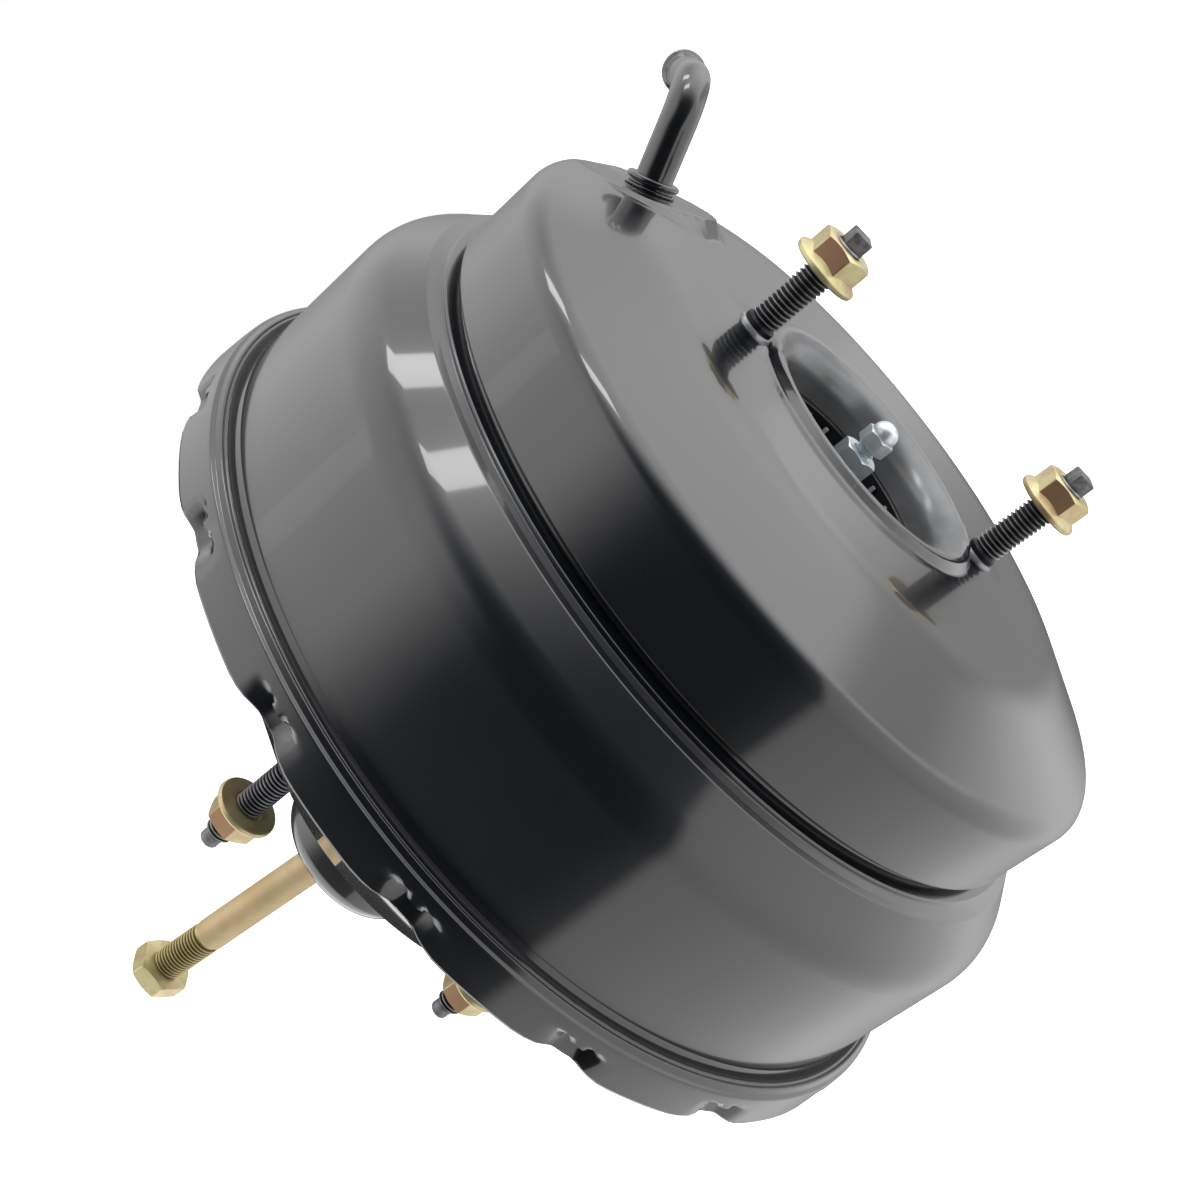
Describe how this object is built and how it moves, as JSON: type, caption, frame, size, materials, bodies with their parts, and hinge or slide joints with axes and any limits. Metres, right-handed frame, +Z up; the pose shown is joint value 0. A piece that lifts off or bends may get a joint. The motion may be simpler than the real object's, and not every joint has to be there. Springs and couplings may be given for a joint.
{
  "type": "vacuum brake booster",
  "caption": "Tandem vacuum brake booster with crimped shells, studs, vacuum elbow, pedal push rod, control valve, two diaphragm pistons and output rod.",
  "frame": {"origin": "centre of the firewall face of the rear shell, on the booster's axis", "axes": "+X along the booster's axis to the master cylinder, +Z up, along the line of the front studs"},
  "size_m": [0.3044, 0.2424, 0.2424],
  "materials": {
    "black_shell": "gloss black enamel",
    "zinc_steel": "bright zinc plate",
    "yellow_zinc": "yellow chromate on zinc",
    "dark_steel": "phosphated steel",
    "gold_rod": "yellow chromate on zinc",
    "pressed_steel": "plain pressed steel",
    "black_plastic": "moulded black nylon",
    "brown_plastic": "moulded phenolic",
    "rubber": "moulded black rubber",
    "spring_steel": "oiled spring wire",
    "foam": "open-cell filter foam",
    "felt": "pressed felt"
  },
  "bodies": {
    "housing": {"front_shell": "black_shell", "rear_shell": "black_shell", "front_studs": "dark_steel", "rear_studs": "dark_steel", "front_nuts": "yellow_zinc", "rear_nuts": "yellow_zinc", "front_stud_plate": "pressed_steel", "rear_stud_plate": "pressed_steel", "vacuum_tube": "black_shell", "tube_ferrule": "black_shell", "ribbed_ring": "black_plastic", "divider_plate": "pressed_steel", "divider_seal": "rubber", "front_diaphragm": "rubber", "rear_diaphragm": "rubber", "main_return_spring": "spring_steel", "rear_seal": "rubber", "guide_ring": "black_plastic", "rear_seal_cap": "pressed_steel"},
    "power_piston": {"valve_body": "brown_plastic", "hub_sleeve": "brown_plastic", "hub_retainer": "pressed_steel", "front_support_plate": "pressed_steel", "rear_support_plate": "pressed_steel", "stopper_key": "pressed_steel", "reaction_disc": "rubber", "output_rod": "zinc_steel", "poppet_valve": "rubber", "poppet_retainer": "pressed_steel", "poppet_spring": "spring_steel", "filter_cap": "black_plastic", "air_filter": "foam", "silencer": "felt"},
    "control_plunger": {"plunger": "zinc_steel"},
    "pedal_push_rod": {"pedal_rod": "gold_rod", "pedal_lock_nut": "yellow_zinc", "rod_return_spring": "spring_steel"},
    "length_screw": {"adjusting_screw": "zinc_steel"}
  },
  "joints": [
    {"name": "power_stroke", "type": "slide", "parent": "housing", "child": "power_piston", "axis": [1, 0, 0], "range_m": [0, 0.026], "stiffness_N_per_m": 4000, "springref_m": -0.03, "deforming": ["main_return_spring", "front_diaphragm", "rear_diaphragm"]},
    {"name": "valve_travel", "type": "slide", "parent": "power_piston", "child": "control_plunger", "axis": [1, 0, 0], "range_m": [0, 0.0016], "stiffness_N_per_m": 2000, "springref_m": -0.01, "deforming": ["rod_return_spring"]},
    {"name": "rod_swing", "type": "hinge", "parent": "control_plunger", "child": "pedal_push_rod", "pos_m": [0.023, 0, 0], "axis": [0, 1, 0], "range_deg": [-7.3, 0.7]},
    {"name": "screw_turn", "type": "hinge", "parent": "power_piston", "child": "length_screw", "pos_m": [0.15, 0, 0], "axis": [1, 0, 0], "continuous": true}
  ]
}
